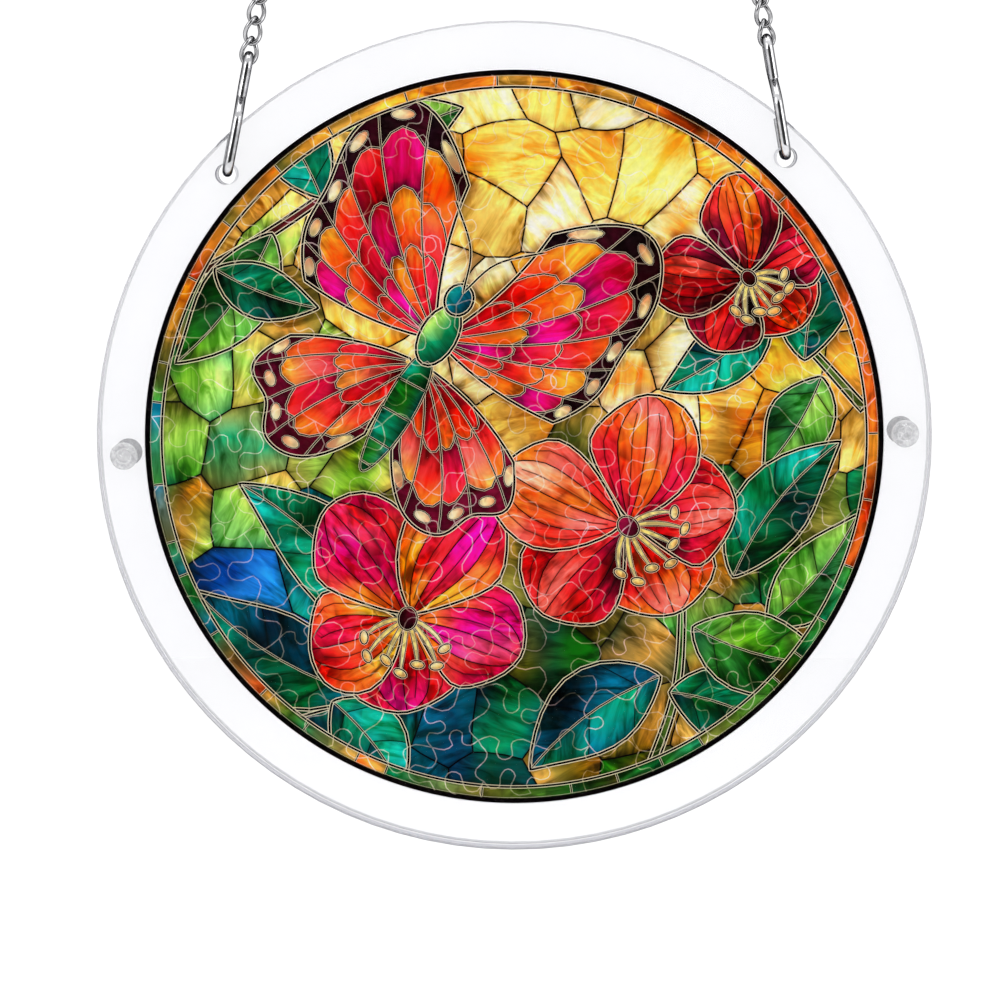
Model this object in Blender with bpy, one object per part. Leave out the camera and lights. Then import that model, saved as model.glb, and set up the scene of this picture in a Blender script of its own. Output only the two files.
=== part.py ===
"""Round acrylic suncatcher: a printed jigsaw picture held between two clear plates.

Metres, +Z up. The picture faces -Y. Each side hangs from a wire hook, a short run of
twisted chain and an end ring, and the origin lies midway between the two end rings.
"""

import math

import bmesh
import bpy
from mathutils import Matrix, Vector

# Clear plates, and the jigsaw and spacer between them
PLATE_RADIUS = 0.100
PLATE_THICKNESS = 0.0020
PLATE_CHAMFER = 0.0003
CORE_THICKNESS = 0.0030
CLEAR_MARGIN = 0.0113
PICTURE_CHAMFER = 0.0002
GAP = 0.0003
DISC_TILT = math.radians(1.7)
DISC_SIDES = 90

# Hanging holes, set in from the plates' edge and spread each way from the top
HOLE_RADIUS = 0.00245
HOLE_INSET = 0.0063
HOLE_SPREAD = math.radians(45)
HOLE_SIDES = 24

# Clear rivets at nine and three o'clock
RIVET_INSET = 0.0065
RIVET_HEAD_RADIUS = 0.0033
RIVET_HEAD_HEIGHT = 0.0012
RIVET_ROUNDING = 0.0004
RIVET_SHANK_RADIUS = 0.0016
RIVET_DIMPLE_RADIUS = 0.0019
RIVET_DIMPLE_SLOPE = 0.0003
RIVET_DIMPLE_DEPTH = 0.0004
RIVET_SIDES = 20

# S-shaped wire hooks, which go through the plates from front to back
HOOK_WIRE_RADIUS = 0.00115
HOOK_HEIGHT = 0.0300
HOOK_STANDOFF = 0.0006
HOOK_LOWER_BEND = 0.0030
HOOK_UPPER_BEND = 0.0028
HOOK_LOWER_TIP = 0.0088
HOOK_UPPER_TIP = 0.0095
HOOK_CROSSING = 0.0100
HOOK_TURNS = {"left": math.radians(7), "right": math.radians(-2)}

# Twisted chain links
LINK_WIRE_RADIUS = 0.00052
LINK_WIDTH = 0.0048
LINK_LENGTH = 0.0072
LINK_TWIST = math.radians(84)
LINK_TURN = math.radians(32)
LINK_POINTS = 20
LINK_COUNTS = {"left": 5, "right": 4}
CHAIN_LEANS = {"left": math.radians(11.2), "right": math.radians(-9.75)}

# Plain rings that end the chains
RING_WIRE_RADIUS = 0.0007
RING_OUTER_RADIUS = 0.0060
RING_TURN = math.radians(-40)
RING_POINTS = 24

BEND_STEP = math.radians(15)
SMOOTH_ANGLE = math.radians(35)

HALF_DEPTH = CORE_THICKNESS / 2 + GAP + PLATE_THICKNESS
PICTURE_RADIUS = PLATE_RADIUS - CLEAR_MARGIN
SIDES = {"left": -1, "right": 1}

ACRYLIC = ("clear_acrylic", (0.93, 0.95, 0.97, 0.25), 0.05, 0.0)
FROSTED = ("rivet_plastic", (0.80, 0.82, 0.84, 0.6), 0.25, 0.0)
PRINT = ("printed_acrylic", (0.62, 0.38, 0.12, 1.0), 0.3, 0.0)
STEEL = ("polished_steel", (0.75, 0.75, 0.77, 1.0), 0.12, 1.0)


def clear_scene():
    for obj in list(bpy.data.objects):
        bpy.data.objects.remove(obj, do_unlink=True)


def material(name, color, roughness, metallic):
    """A plain Principled material, made once and shared by the pieces of one kind."""
    if name in bpy.data.materials:
        return bpy.data.materials[name]
    made = bpy.data.materials.new(name)
    made.use_nodes = True
    shader = made.node_tree.nodes["Principled BSDF"]
    shader.inputs["Base Color"].default_value = color
    shader.inputs["Roughness"].default_value = roughness
    shader.inputs["Metallic"].default_value = metallic
    shader.inputs["Alpha"].default_value = color[3]
    made.diffuse_color = color
    return made


def mesh_object(name, bm, finish, parent):
    """The bmesh as a smooth-shaded object under its parent."""
    bmesh.ops.recalc_face_normals(bm, faces=bm.faces)
    mesh = bpy.data.meshes.new(name)
    bm.to_mesh(mesh)
    bm.free()
    mesh.shade_smooth()
    mesh.set_sharp_from_angle(angle=SMOOTH_ANGLE)
    mesh.materials.append(material(*finish))
    obj = bpy.data.objects.new(name, mesh)
    bpy.context.collection.objects.link(obj)
    obj.parent = parent
    return obj


def empty(name, location, rotation_y):
    obj = bpy.data.objects.new(name, None)
    bpy.context.collection.objects.link(obj)
    obj.location = location
    obj.rotation_euler.y = rotation_y
    return obj


def turned(profile, steps, closed):
    """A profile of (radius, depth) pairs spun about the Y axis."""
    bm = bmesh.new()
    verts = [bm.verts.new((radius, depth, 0)) for radius, depth in profile]
    ends = zip(verts, verts[1:] + verts[:1]) if closed else zip(verts, verts[1:])
    edges = [bm.edges.new(pair) for pair in ends]
    bmesh.ops.spin(
        bm,
        geom=verts + edges,
        cent=(0, 0, 0),
        axis=(0, 1, 0),
        angle=2 * math.pi,
        steps=steps,
        use_merge=True,
    )
    bmesh.ops.remove_doubles(bm, verts=bm.verts, dist=1e-6)
    return bm


def disc_profile(radius, thickness, chamfer):
    """Half a disc's section, from the middle of its front to the middle of its back."""
    half = thickness / 2
    edge = [(radius - chamfer, -half), (radius, chamfer - half)]
    back = [(r, -depth) for r, depth in reversed(edge)]
    return [(0, -half), *edge, *back, (0, half)]


def ring_profile(inner, outer, thickness, chamfer):
    half = thickness / 2
    return [
        (inner, -half),
        (outer - chamfer, -half),
        (outer, chamfer - half),
        (outer, half - chamfer),
        (outer - chamfer, half),
        (inner, half),
    ]


def rivet_profile():
    """Half a rivet's section: a rounded head with a dimple at each end of the shank."""
    face = HALF_DEPTH + GAP + RIVET_HEAD_HEIGHT
    under = HALF_DEPTH + GAP
    front = [
        (0, RIVET_DIMPLE_DEPTH - face),
        (RIVET_DIMPLE_RADIUS - RIVET_DIMPLE_SLOPE, RIVET_DIMPLE_DEPTH - face),
        (RIVET_DIMPLE_RADIUS, -face),
        (RIVET_HEAD_RADIUS - RIVET_ROUNDING, -face),
        (RIVET_HEAD_RADIUS - RIVET_ROUNDING * 0.3, RIVET_ROUNDING * 0.3 - face),
        (RIVET_HEAD_RADIUS, RIVET_ROUNDING - face),
        (RIVET_HEAD_RADIUS, -under),
        (RIVET_SHANK_RADIUS, -under),
    ]
    return front + [(radius, -depth) for radius, depth in reversed(front)]


def on_disc(radius, angle):
    """A point of the disc's middle plane, at an angle from the top towards +X."""
    return Vector((radius * math.sin(angle), 0, radius * math.cos(angle)))


def hole_centre(side):
    return on_disc(PLATE_RADIUS - HOLE_INSET, SIDES[side] * HOLE_SPREAD)


def rivet_centre(side):
    return on_disc(PLATE_RADIUS - RIVET_INSET, SIDES[side] * math.pi / 2)


def drill(parent):
    """The cutter for the hanging holes and the rivets' holes, one cylinder for each."""
    bm = bmesh.new()
    length = 4 * HALF_DEPTH
    holes = [(hole_centre(side), HOLE_RADIUS) for side in SIDES]
    holes += [(rivet_centre(side), RIVET_SHANK_RADIUS + GAP) for side in SIDES]
    for centre, radius in holes:
        bmesh.ops.create_cone(
            bm,
            cap_ends=True,
            segments=HOLE_SIDES,
            radius1=radius,
            radius2=radius,
            depth=length,
            matrix=Matrix.Translation(centre) @ Matrix.Rotation(math.pi / 2, 4, "X"),
        )
    cutter = mesh_object("drill", bm, ACRYLIC, parent)
    cutter.hide_render = True
    cutter.display_type = "WIRE"
    return cutter


def drilled(obj, cutter):
    cut = obj.modifiers.new("holes", "BOOLEAN")
    cut.operation = "DIFFERENCE"
    cut.object = cutter


def build_plates(disc):
    """The two clear plates and the clear spacer between them, drilled together."""
    cutter = drill(disc)
    offset = (CORE_THICKNESS + PLATE_THICKNESS) / 2 + GAP
    for name, depth in (("front_plate", -offset), ("back_plate", offset)):
        profile = disc_profile(PLATE_RADIUS, PLATE_THICKNESS, PLATE_CHAMFER)
        plate = mesh_object(name, turned(profile, DISC_SIDES, False), ACRYLIC, disc)
        plate.location.y = depth
        drilled(plate, cutter)
    profile = ring_profile(
        PICTURE_RADIUS + GAP, PLATE_RADIUS, CORE_THICKNESS, PLATE_CHAMFER
    )
    spacer = mesh_object(
        "spacer_ring", turned(profile, DISC_SIDES, True), ACRYLIC, disc
    )
    drilled(spacer, cutter)


def build_picture(disc):
    profile = disc_profile(PICTURE_RADIUS, CORE_THICKNESS, PICTURE_CHAMFER)
    mesh_object("jigsaw_picture", turned(profile, DISC_SIDES, False), PRINT, disc)


def build_rivets(disc):
    for side in SIDES:
        bm = turned(rivet_profile(), RIVET_SIDES, False)
        rivet = mesh_object("rivet_" + side, bm, FROSTED, disc)
        rivet.location = rivet_centre(side)


def wire_object(name, points, radius, closed, parent, fineness=2):
    """A round wire along the points, with more sides where the fineness is higher."""
    curve = bpy.data.curves.new(name, "CURVE")
    curve.dimensions = "3D"
    curve.bevel_depth = radius
    curve.bevel_resolution = fineness
    curve.use_fill_caps = True
    spline = curve.splines.new("POLY")
    spline.points.add(len(points) - 1)
    for place, point in zip(spline.points, points):
        place.co = (*point, 1)
    spline.use_cyclic_u = closed
    spline.use_smooth = True
    curve.materials.append(material(*STEEL))
    obj = bpy.data.objects.new(name, curve)
    bpy.context.collection.objects.link(obj)
    obj.parent = parent
    return obj


def arc(centre, radius, start, end):
    """Points (depth, height) of an arc, both ends included."""
    count = max(2, round(abs(end - start) / BEND_STEP))
    angles = [start + (end - start) * i / count for i in range(count + 1)]
    return [
        (centre[0] + radius * math.cos(a), centre[1] + radius * math.sin(a))
        for a in angles
    ]


def rim_reach(side):
    """How far the plates' edge lies from the hanging hole, along the chain."""
    lean = CHAIN_LEANS[side] + DISC_TILT
    along = hole_centre(side).dot(Vector((math.sin(lean), 0, math.cos(lean))))
    hole_circle = PLATE_RADIUS - HOLE_INSET
    return math.sqrt(along**2 + PLATE_RADIUS**2 - hole_circle**2) - along


def hook_seat():
    """Height of the hook's lowest centreline over the hole's centre, where it bears."""
    inner = HOOK_LOWER_BEND - HOOK_WIRE_RADIUS
    start = max(inner - HOOK_STANDOFF, 0)
    rise = HOOK_LOWER_BEND - math.sqrt(inner**2 - start**2)
    return HOLE_RADIUS - GAP - rise


def hook_outline():
    """The S hook's centreline as (depth, height), from its back tip to its front tip."""
    limb = HALF_DEPTH + HOOK_STANDOFF + HOOK_WIRE_RADIUS
    flat = limb - HOOK_LOWER_BEND
    top = HOOK_HEIGHT - 2 * HOOK_WIRE_RADIUS
    shoulder = top - HOOK_UPPER_BEND
    clear = max(rim_reach(side) for side in SIDES) + HOOK_WIRE_RADIUS + GAP
    start = clear - hook_seat()
    points = [(limb, HOOK_LOWER_TIP)]
    points += arc((flat, HOOK_LOWER_BEND), HOOK_LOWER_BEND, 0, -math.pi / 2)
    points += arc((-flat, HOOK_LOWER_BEND), HOOK_LOWER_BEND, -math.pi / 2, -math.pi)
    steps = 10
    for i in range(steps + 1):
        ease = (1 - math.cos(math.pi * i / steps)) / 2
        depth = -limb + (limb + HOOK_UPPER_BEND) * ease
        points.append((depth, start + HOOK_CROSSING * i / steps))
    points += arc((0, shoulder), HOOK_UPPER_BEND, 0, math.pi)
    points.append((-HOOK_UPPER_BEND, top - HOOK_UPPER_TIP))
    return points


def build_hook(side, chain):
    turn = Matrix.Rotation(HOOK_TURNS[side], 3, "Z")
    points = [turn @ Vector((0, depth, height)) for depth, height in hook_outline()]
    hook = wire_object("hook_" + side, points, HOOK_WIRE_RADIUS, False, chain)
    hook.location.z = hook_seat()


def link_points():
    """A link's centreline: a long oval, twisted about its long axis."""
    half_width = LINK_WIDTH / 2 - LINK_WIRE_RADIUS
    half_length = LINK_LENGTH / 2 - LINK_WIRE_RADIUS
    points = []
    for i in range(LINK_POINTS):
        around = 2 * math.pi * i / LINK_POINTS
        height = half_length * math.sin(around)
        across = half_width * math.cos(around)
        turn = LINK_TURN + LINK_TWIST * height / (2 * half_length)
        points.append((across * math.cos(turn), across * math.sin(turn), height))
    return points


def first_link_height():
    """Height of the first link's middle over the hole's centre, in the hook's bend."""
    bearing = hook_seat() + HOOK_HEIGHT - 2 * HOOK_WIRE_RADIUS
    lowest = bearing - HOOK_WIRE_RADIUS - GAP - LINK_WIRE_RADIUS
    return lowest + LINK_LENGTH / 2 - LINK_WIRE_RADIUS


def link_pitch():
    return LINK_LENGTH - 4 * LINK_WIRE_RADIUS - GAP


def ring_height(side):
    """Height of the end ring's centre over the hole's centre, along the chain."""
    last = first_link_height() + (LINK_COUNTS[side] - 1) * link_pitch()
    bearing = last + LINK_LENGTH / 2 - 2 * LINK_WIRE_RADIUS - GAP
    return bearing + RING_OUTER_RADIUS - 2 * RING_WIRE_RADIUS


def build_chain(side, chain):
    points = link_points()
    for i in range(LINK_COUNTS[side]):
        name = f"chain_link_{side}_{i + 1}"
        link = wire_object(name, points, LINK_WIRE_RADIUS, True, chain, fineness=1)
        link.location.z = first_link_height() + i * link_pitch()


def build_end_ring(side, chain):
    radius = RING_OUTER_RADIUS - RING_WIRE_RADIUS
    angles = [2 * math.pi * i / RING_POINTS for i in range(RING_POINTS)]
    turn = Matrix.Rotation(RING_TURN, 3, "Z")
    points = [
        turn @ Vector((radius * math.cos(a), 0, radius * math.sin(a))) for a in angles
    ]
    ring = wire_object("end_ring_" + side, points, RING_WIRE_RADIUS, True, chain)
    ring.location.z = ring_height(side)


def chain_foot(side):
    """The hanging hole's centre, from the disc's centre, with the disc as it hangs."""
    return Matrix.Rotation(-DISC_TILT, 3, "Y") @ hole_centre(side)


def bearing_point(side):
    """The inside top of an end ring, from the disc's centre."""
    reach = ring_height(side) + RING_OUTER_RADIUS - 2 * RING_WIRE_RADIUS
    lean = CHAIN_LEANS[side]
    return chain_foot(side) + reach * Vector((math.sin(lean), 0, math.cos(lean)))


def main():
    clear_scene()
    centre = -(bearing_point("left") + bearing_point("right")) / 2
    disc = empty("disc", centre, -DISC_TILT)
    build_plates(disc)
    build_picture(disc)
    build_rivets(disc)
    for side in SIDES:
        chain = empty("chain_" + side, centre + chain_foot(side), CHAIN_LEANS[side])
        build_hook(side, chain)
        build_chain(side, chain)
        build_end_ring(side, chain)


main()
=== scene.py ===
"""The finished looks of the round acrylic suncatcher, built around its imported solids."""

import math
import random

import bpy
import numpy as np
from mathutils import Matrix, Vector
from mathutils.geometry import delaunay_2d_cdt


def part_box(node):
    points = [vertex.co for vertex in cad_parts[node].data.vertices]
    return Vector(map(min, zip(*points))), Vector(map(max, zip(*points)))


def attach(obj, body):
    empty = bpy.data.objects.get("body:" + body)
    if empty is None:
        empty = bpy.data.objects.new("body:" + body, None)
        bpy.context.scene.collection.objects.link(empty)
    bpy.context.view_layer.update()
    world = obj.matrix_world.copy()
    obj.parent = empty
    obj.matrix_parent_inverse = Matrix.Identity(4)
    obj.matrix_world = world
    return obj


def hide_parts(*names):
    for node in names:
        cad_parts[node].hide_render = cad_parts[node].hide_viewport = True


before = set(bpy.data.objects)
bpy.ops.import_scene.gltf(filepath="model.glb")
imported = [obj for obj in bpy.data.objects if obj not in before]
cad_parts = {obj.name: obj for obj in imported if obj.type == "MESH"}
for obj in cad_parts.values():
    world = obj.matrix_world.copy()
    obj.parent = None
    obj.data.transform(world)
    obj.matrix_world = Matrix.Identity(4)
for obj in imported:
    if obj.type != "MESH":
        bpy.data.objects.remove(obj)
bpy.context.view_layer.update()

# The picture is drawn in millimetres from the disc's centre, x to the right and y up
MM = 0.001
DISC_TILT = math.radians(1.7)
PICTURE_LOW, PICTURE_HIGH = (Vector(corner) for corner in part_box("jigsaw_picture"))
CENTRE = (PICTURE_LOW + PICTURE_HIGH) / 2
PICTURE_RADIUS = (PICTURE_HIGH.z - PICTURE_LOW.z) / 2 / MM
RIM_WIDTH = 1.15
BORDER_WIDTH = 2.9
ART_RADIUS = PICTURE_RADIUS - RIM_WIDTH - BORDER_WIDTH
CIRCLE_STEPS = 200
QUARTER_TURN = 1.57

# The seeds of the random draws
DESIGN_SEED = 11
FILLER_SEED = 5

# Half widths of the drawn lines and of the thin pale lines beside them
OUTLINE = (0.26, 0.20)
BORDER_LINE = (0.25, 0.17)
ANTENNA = (0.22, 0.14)
INNER = (0.17, 0.10)
PLAIN = (0.20, 0.0)
VEIN = (0.14, 0.0)
FINE = (0.10, 0.06)

# The jigsaw's cuts: half their width, the depth of their grooves, and how many have a knob
CUT_HALF_WIDTH = 0.14
CUT_DEPTH = 0.12
KNOB_SHARE = 0.78

# The sawn bands: how deep they lie under the clear walls, and how far in from the faces
SAWN_DEPTH = 0.08
SAWN_INSET = 0.45

# The hanging holes: radius, distance in from the rim, and angle from the top
HOLE_RADIUS = 2.45
HOLE_INSET = 6.3
HOLE_SPREAD = math.radians(45)

# Colours of the glass, as sRGB
GLASS = {
    "cream": (1.00, 0.94, 0.66),
    "yellow": (0.98, 0.82, 0.36),
    "amber": (0.96, 0.66, 0.13),
    "orange": (0.97, 0.49, 0.08),
    "rust": (0.72, 0.32, 0.06),
    "ochre": (0.74, 0.60, 0.20),
    "olive": (0.52, 0.52, 0.16),
    "moss": (0.33, 0.40, 0.10),
    "brown": (0.33, 0.18, 0.07),
    "lime": (0.62, 0.80, 0.28),
    "leaf": (0.25, 0.62, 0.18),
    "emerald": (0.02, 0.56, 0.29),
    "forest": (0.02, 0.30, 0.17),
    "jade": (0.05, 0.66, 0.50),
    "teal": (0.00, 0.42, 0.42),
    "deep": (0.01, 0.19, 0.23),
    "blue": (0.12, 0.50, 0.70),
    "peach": (0.99, 0.66, 0.42),
    "coral": (0.97, 0.44, 0.31),
    "scarlet": (0.93, 0.19, 0.13),
    "crimson": (0.80, 0.06, 0.20),
    "magenta": (0.86, 0.04, 0.45),
    "rose": (0.95, 0.35, 0.45),
    "wine": (0.45, 0.04, 0.14),
    "maroon": (0.22, 0.02, 0.07),
    "ink": (0.03, 0.02, 0.03),
}
PALE = (1.0, 0.95, 0.80)

# The wire pieces, in millimetres and degrees: the solids' own sizes, with rounder wire
HOOK_WIRE = 1.15
HOOK_HEIGHT = 30.0
HOOK_LIMB = 5.55
HOOK_LOWER_BEND = 3.0
HOOK_UPPER_BEND = 2.8
HOOK_LOWER_TIP_HEIGHT = 8.8
HOOK_UPPER_TIP_DROP = 9.5
HOOK_CROSSING_START = 11.97
HOOK_CROSSING_HEIGHT = 10.0
HOOK_TURNS = {"left": 7, "right": -2}
LINK_WIRE = 0.52
LINK_SIZE = (4.8, 7.2)
LINK_TWIST = 84
LINK_TURN = 32
RING_WIRE = 0.7
RING_RADIUS = 6.0
RING_TURN = -40

# Camera: the photograph's size, and the plates' radius and centre in its pixels
PHOTO_SIZE = 1001
PLATE_RADIUS = (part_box("front_plate")[1][2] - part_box("front_plate")[0][2]) / 2
PLATE_RADIUS_PX = 415.0
DISC_CENTRE_PX = (513.5, 441.5)
CAMERA_DISTANCE = 0.64
CAMERA_RISE = math.radians(7.0)

# Stage: the floor's side and its drop below the disc, and the room's brightness and tint
FLOOR_SIZE = 2.4
FLOOR_DROP = 0.20
ROOM_LIGHT = 1.06
ROOM_TINT = (0.99, 0.99, 1.0)

# The mirrored room: how near the disc's axis it starts to darken and is darkest, and how dark
MIRROR_FADE = (0.72, 0.90)
MIRROR_DARK = 0.96


def linear(color):
    """An sRGB colour, or an array of them, as linear light."""
    color = np.asarray(color, float)
    return np.where(color <= 0.04045, color / 12.92, ((color + 0.055) / 1.055) ** 2.4)


def ahead_at(angle):
    """A step of length one along an angle."""
    return np.array((math.cos(angle), math.sin(angle)))


class Picture:
    """Panes and lines in the order they are painted."""

    def __init__(self):
        self.panes = []
        self.steps = []

    def pane(self, outline, colors, grain, streak=1.0, edge=None):
        """A pane whose colours run along its grain, with a line round it where edge has widths."""
        colors = colors.split() if isinstance(colors, str) else colors
        outline = np.asarray(outline, float)
        along = ahead_at(grain)
        reach = outline @ along
        self.steps.append(("pane", len(self.panes)))
        self.panes.append({
            "outline": outline,
            "colors": linear([GLASS[name] for name in colors]),
            "grain": along,
            "span": (reach.min(), max(np.ptp(reach), 0.5)),
            "streak": streak,
            "seed": len(self.panes) * 0.37,
        })
        if edge:
            self.line(outline, edge)

    def line(self, points, widths, closed=True, ink=1.0):
        """A dark line between two thin pale ones. Ink is how dark it is."""
        points = np.asarray(points, float)
        self.steps.append(("line", {"points": points, "widths": widths, "closed": closed, "ink": ink}))


def smooth_curve(points, steps=6):
    """Points of a smooth curve that runs through the given ones."""
    points = np.asarray(points, float)
    padded = np.vstack((2 * points[0] - points[1], points, 2 * points[-1] - points[-2]))
    out = []
    for a, b, c, d in zip(padded, padded[1:], padded[2:], padded[3:]):
        for t in np.arange(steps) / steps:
            out.append(
                0.5 * (2 * b + (c - a) * t + (2 * a - 5 * b + 4 * c - d) * t**2
                       + (3 * b - a - 3 * c + d) * t**3)
            )
    out.append(points[-1])
    return np.array(out)


def blade(base, tip, width, bend=0.0, swell=1.0, blunt=1.0, ruffle=0.0, phase=0.0):
    """A petal or leaf: a function from (along 0 to 1, across -1 to 1) to a point."""
    base, tip = np.array(base, float), np.array(tip, float)
    run = tip - base
    side = np.array((-run[1], run[0]))
    middle = (base + tip) / 2 + side * bend

    def at(along, across):
        along, across = np.broadcast_arrays(np.asarray(along, float), np.asarray(across, float))
        along = (1 - np.cos(np.pi * along)) / 2
        t = along[..., None]
        point = (1 - t) ** 2 * base + 2 * t * (1 - t) * middle + t**2 * tip
        slope = (1 - t) * (middle - base) + t * (tip - middle)
        normal = np.stack((-slope[..., 1], slope[..., 0]), -1)
        normal /= np.linalg.norm(normal, axis=-1, keepdims=True)
        wide = width * np.clip(np.sin(np.pi * along**swell), 0, 1) ** blunt
        wave = 1 + ruffle * along**2 * np.sin(8 * along + phase + 2.2 * across)
        push = ruffle * width * along**4 * np.cos(phase)
        ahead = slope / np.linalg.norm(slope, axis=-1, keepdims=True)
        return point + normal * (across * wide * wave)[..., None] + ahead * push[..., None]

    return at


def wing(root, angles, radii, curl):
    """A wing: a function from (out 0 to 1, round 0 to 1) to a point."""
    root = np.array(root, float)
    knots = np.linspace(0, 1, len(radii))

    def at(out, round_):
        out, round_ = np.broadcast_arrays(np.asarray(out, float), np.asarray(round_, float))
        profile = smooth_curve(np.stack((knots, radii), 1), steps=8)
        radius = np.interp(round_, profile[:, 0], profile[:, 1]) * out
        angle = angles[0] + (angles[1] - angles[0]) * round_ + curl * (out - 0.5)
        return root + np.stack((radius * np.cos(angle), radius * np.sin(angle)), -1)

    return at


def cell(at, corners, steps=7):
    """The outline of a cell whose corners are given along and across a blade or wing."""
    corners = np.asarray(corners, float)
    part = np.linspace(0, 1, steps, endpoint=False)[:, None]
    sides = [a + (b - a) * part for a, b in zip(corners, np.roll(corners, -1, axis=0))]
    path = np.vstack(sides)
    points = at(np.clip(path[:, 0], 0, 1), path[:, 1])
    step = np.linalg.norm(points - np.roll(points, 1, axis=0), axis=1)
    return points[step > 0.05]


def edge_of(at, steps):
    """The outline of a whole blade."""
    along = np.linspace(0, 1, steps + 1)
    return np.vstack((at(along, -1), at(along[::-1][1:-1], 1)))


def ellipse(centre, radii, angle, count=20):
    """Points round an ellipse that is turned by the angle."""
    turn = np.array(((math.cos(angle), math.sin(angle)), (-math.sin(angle), math.cos(angle))))
    around = np.linspace(0, 2 * np.pi, count, endpoint=False)
    ring = np.stack((radii[0] * np.cos(around), radii[1] * np.sin(around)), 1)
    return np.asarray(centre) + ring @ turn


def heading(a, b):
    """The angle of the way from one point to the other."""
    return math.atan2(b[1] - a[1], b[0] - a[0])


def draw_leaf(picture, base, tip, width, bend, colors, veins=4):
    """A pointed leaf, split along its midrib and by slanting side veins."""
    at = blade(base, tip, width, bend, swell=0.85, blunt=0.9, ruffle=0.05)
    cuts = np.linspace(0, 1, veins + 1)
    slant = 0.5 / veins
    for side in (-1, 1):
        shades = colors[:2] if side > 0 else colors[1:]
        for i, (a, b) in enumerate(zip(cuts, cuts[1:])):
            outline = cell(at, [(a, 0), (b, 0), (b + slant, side), (a + slant * (i > 0), side)])
            picture.pane(outline, shades if i % 2 else shades[::-1], heading(base, tip) + side * 0.7)
    for side in (-1, 1):
        for a in cuts[1:-1]:
            part = np.linspace(0, 1, 5)
            picture.line(at(np.minimum(a + slant * part, 1), side * part), VEIN, closed=False, ink=0.8)
    picture.line(at(np.linspace(0, 1, 12), 0), INNER, closed=False)
    picture.line(edge_of(at, 14), OUTLINE)


def draw_petal(picture, base, tip, width, bend, colors, stripes, phase):
    """A ruffled petal of long panes that fan out from its base."""
    at = blade(base, tip, width, bend, swell=1.35, blunt=0.55, ruffle=0.10, phase=phase)
    cuts = np.linspace(-1, 1, stripes + 1)
    for i, (a, b) in enumerate(zip(cuts, cuts[1:])):
        outline = cell(at, [(0, a), (1, a), (1, b), (0, b)], 14)
        shift = (i * 2) % 3 - 1
        shades = [colors[min(max(k + shift, 0), len(colors) - 1)] for k in range(len(colors))]
        picture.pane(outline, shades, heading(base, tip) + 0.2 * (a + b))
    for across in cuts[:-1] + 1.0 / stripes:
        picture.line(at(np.linspace(0.2, 0.75, 7), across), VEIN, closed=False, ink=0.6)
    for across in cuts[1:-1]:
        picture.line(at(np.linspace(0, 1, 15), across), VEIN, closed=False)
    picture.line(edge_of(at, 14), OUTLINE)


def draw_flower(picture, centre, size, turn, colors, petals, lean):
    """An open flower seen from a little to one side, with its petals round a throat."""
    centre = np.array(centre, float)
    order = sorted(range(petals), key=lambda i: math.cos(turn + 2 * math.pi * i / petals - lean))
    for i in order:
        angle = turn + 2 * math.pi * i / petals
        reach = size * (1 + 0.22 * math.cos(angle - lean))
        way = ahead_at(angle)
        palette = colors[i % len(colors)].split()
        draw_petal(picture, centre + way * size * 0.06, centre + way * reach, size * 0.46,
                   0.10 * (-1) ** i, palette, 4, phase=i * 1.7)
    stamens, fan = 7, 0.34
    for i in range(stamens):
        angle = lean + math.pi + (i - stamens // 2) * fan
        way = ahead_at(angle)
        tip = centre + way * size * (0.40 + 0.07 * (i % 2))
        stem = blade(centre, tip, 0.55, 0.08 * (i - stamens // 2), swell=0.8, blunt=0.5)
        outline = cell(stem, [(0, -1), (1, -1), (1, 1), (0, 1)], 8)
        picture.pane(outline, "yellow cream", angle, 0.3, FINE)
        anther = ellipse(tip, (1.7, 1.0), angle + 1.2, 12)
        picture.pane(anther, "cream amber", angle, 0.4, INNER)
    throat = ellipse(centre, (size * 0.10, size * 0.08), lean)
    picture.pane(throat, "maroon wine", lean, edge=INNER)


def draw_wing(picture, at, cells, bands, colors, margin):
    """A butterfly's wing: long cells between its veins, and a dark margin with spots."""
    part = np.linspace(0, 1, 5)
    arcs = {}
    for i, (a, b) in enumerate(zip(cells, cells[1:])):
        for k, band in enumerate(bands):
            bulge = 0.05 * 4 * part * (1 - part) * (0 < k < len(bands))
            arcs[i, k] = np.stack((band + bulge, a + (b - a) * part), 1)
        arcs[i, len(bands)] = np.stack((np.ones(5), a + (b - a) * part), 1)
        for k in range(len(bands)):
            corners = np.vstack((arcs[i, k], arcs[i, k + 1][::-1]))
            outline = cell(at, corners, 3)
            way = heading(at(bands[k], (a + b) / 2), at(1, (a + b) / 2))
            if k < len(bands) - 1:
                picture.pane(outline, colors[(i + k) % len(colors)], way)
            else:
                picture.pane(outline, ["maroon", margin], way + QUARTER_TURN, 0.6)
    for (i, k), arc in arcs.items():
        if 0 < k < len(bands):
            picture.line(at(arc[:, 0], arc[:, 1]), INNER, closed=False)
        if k == len(bands):
            middle = (bands[-1] + 1) / 2 + 0.02
            a, b = cells[i], cells[i + 1]
            gap = at(middle, b) - at(middle, a)
            way = heading(at(middle, a), at(middle, b))
            spot = ellipse(at(middle, (a + b) / 2), (np.hypot(*gap) * 0.24, 1.25), way, 12)
            picture.pane(spot, "peach cream", way, 0.4, FINE)
    for across in cells[1:-1]:
        picture.line(at(np.linspace(bands[0], 1, 9), across), INNER, closed=False)
    out = np.linspace(bands[0], 1, 9)
    rim = [(step, 0) for step in out] + [(1, step) for step in np.linspace(0, 1, 40)[1:-1]]
    rim = np.array(rim + [(step, 1) for step in out[::-1]])
    picture.line(at(rim[:, 0], rim[:, 1]), OUTLINE)


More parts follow.
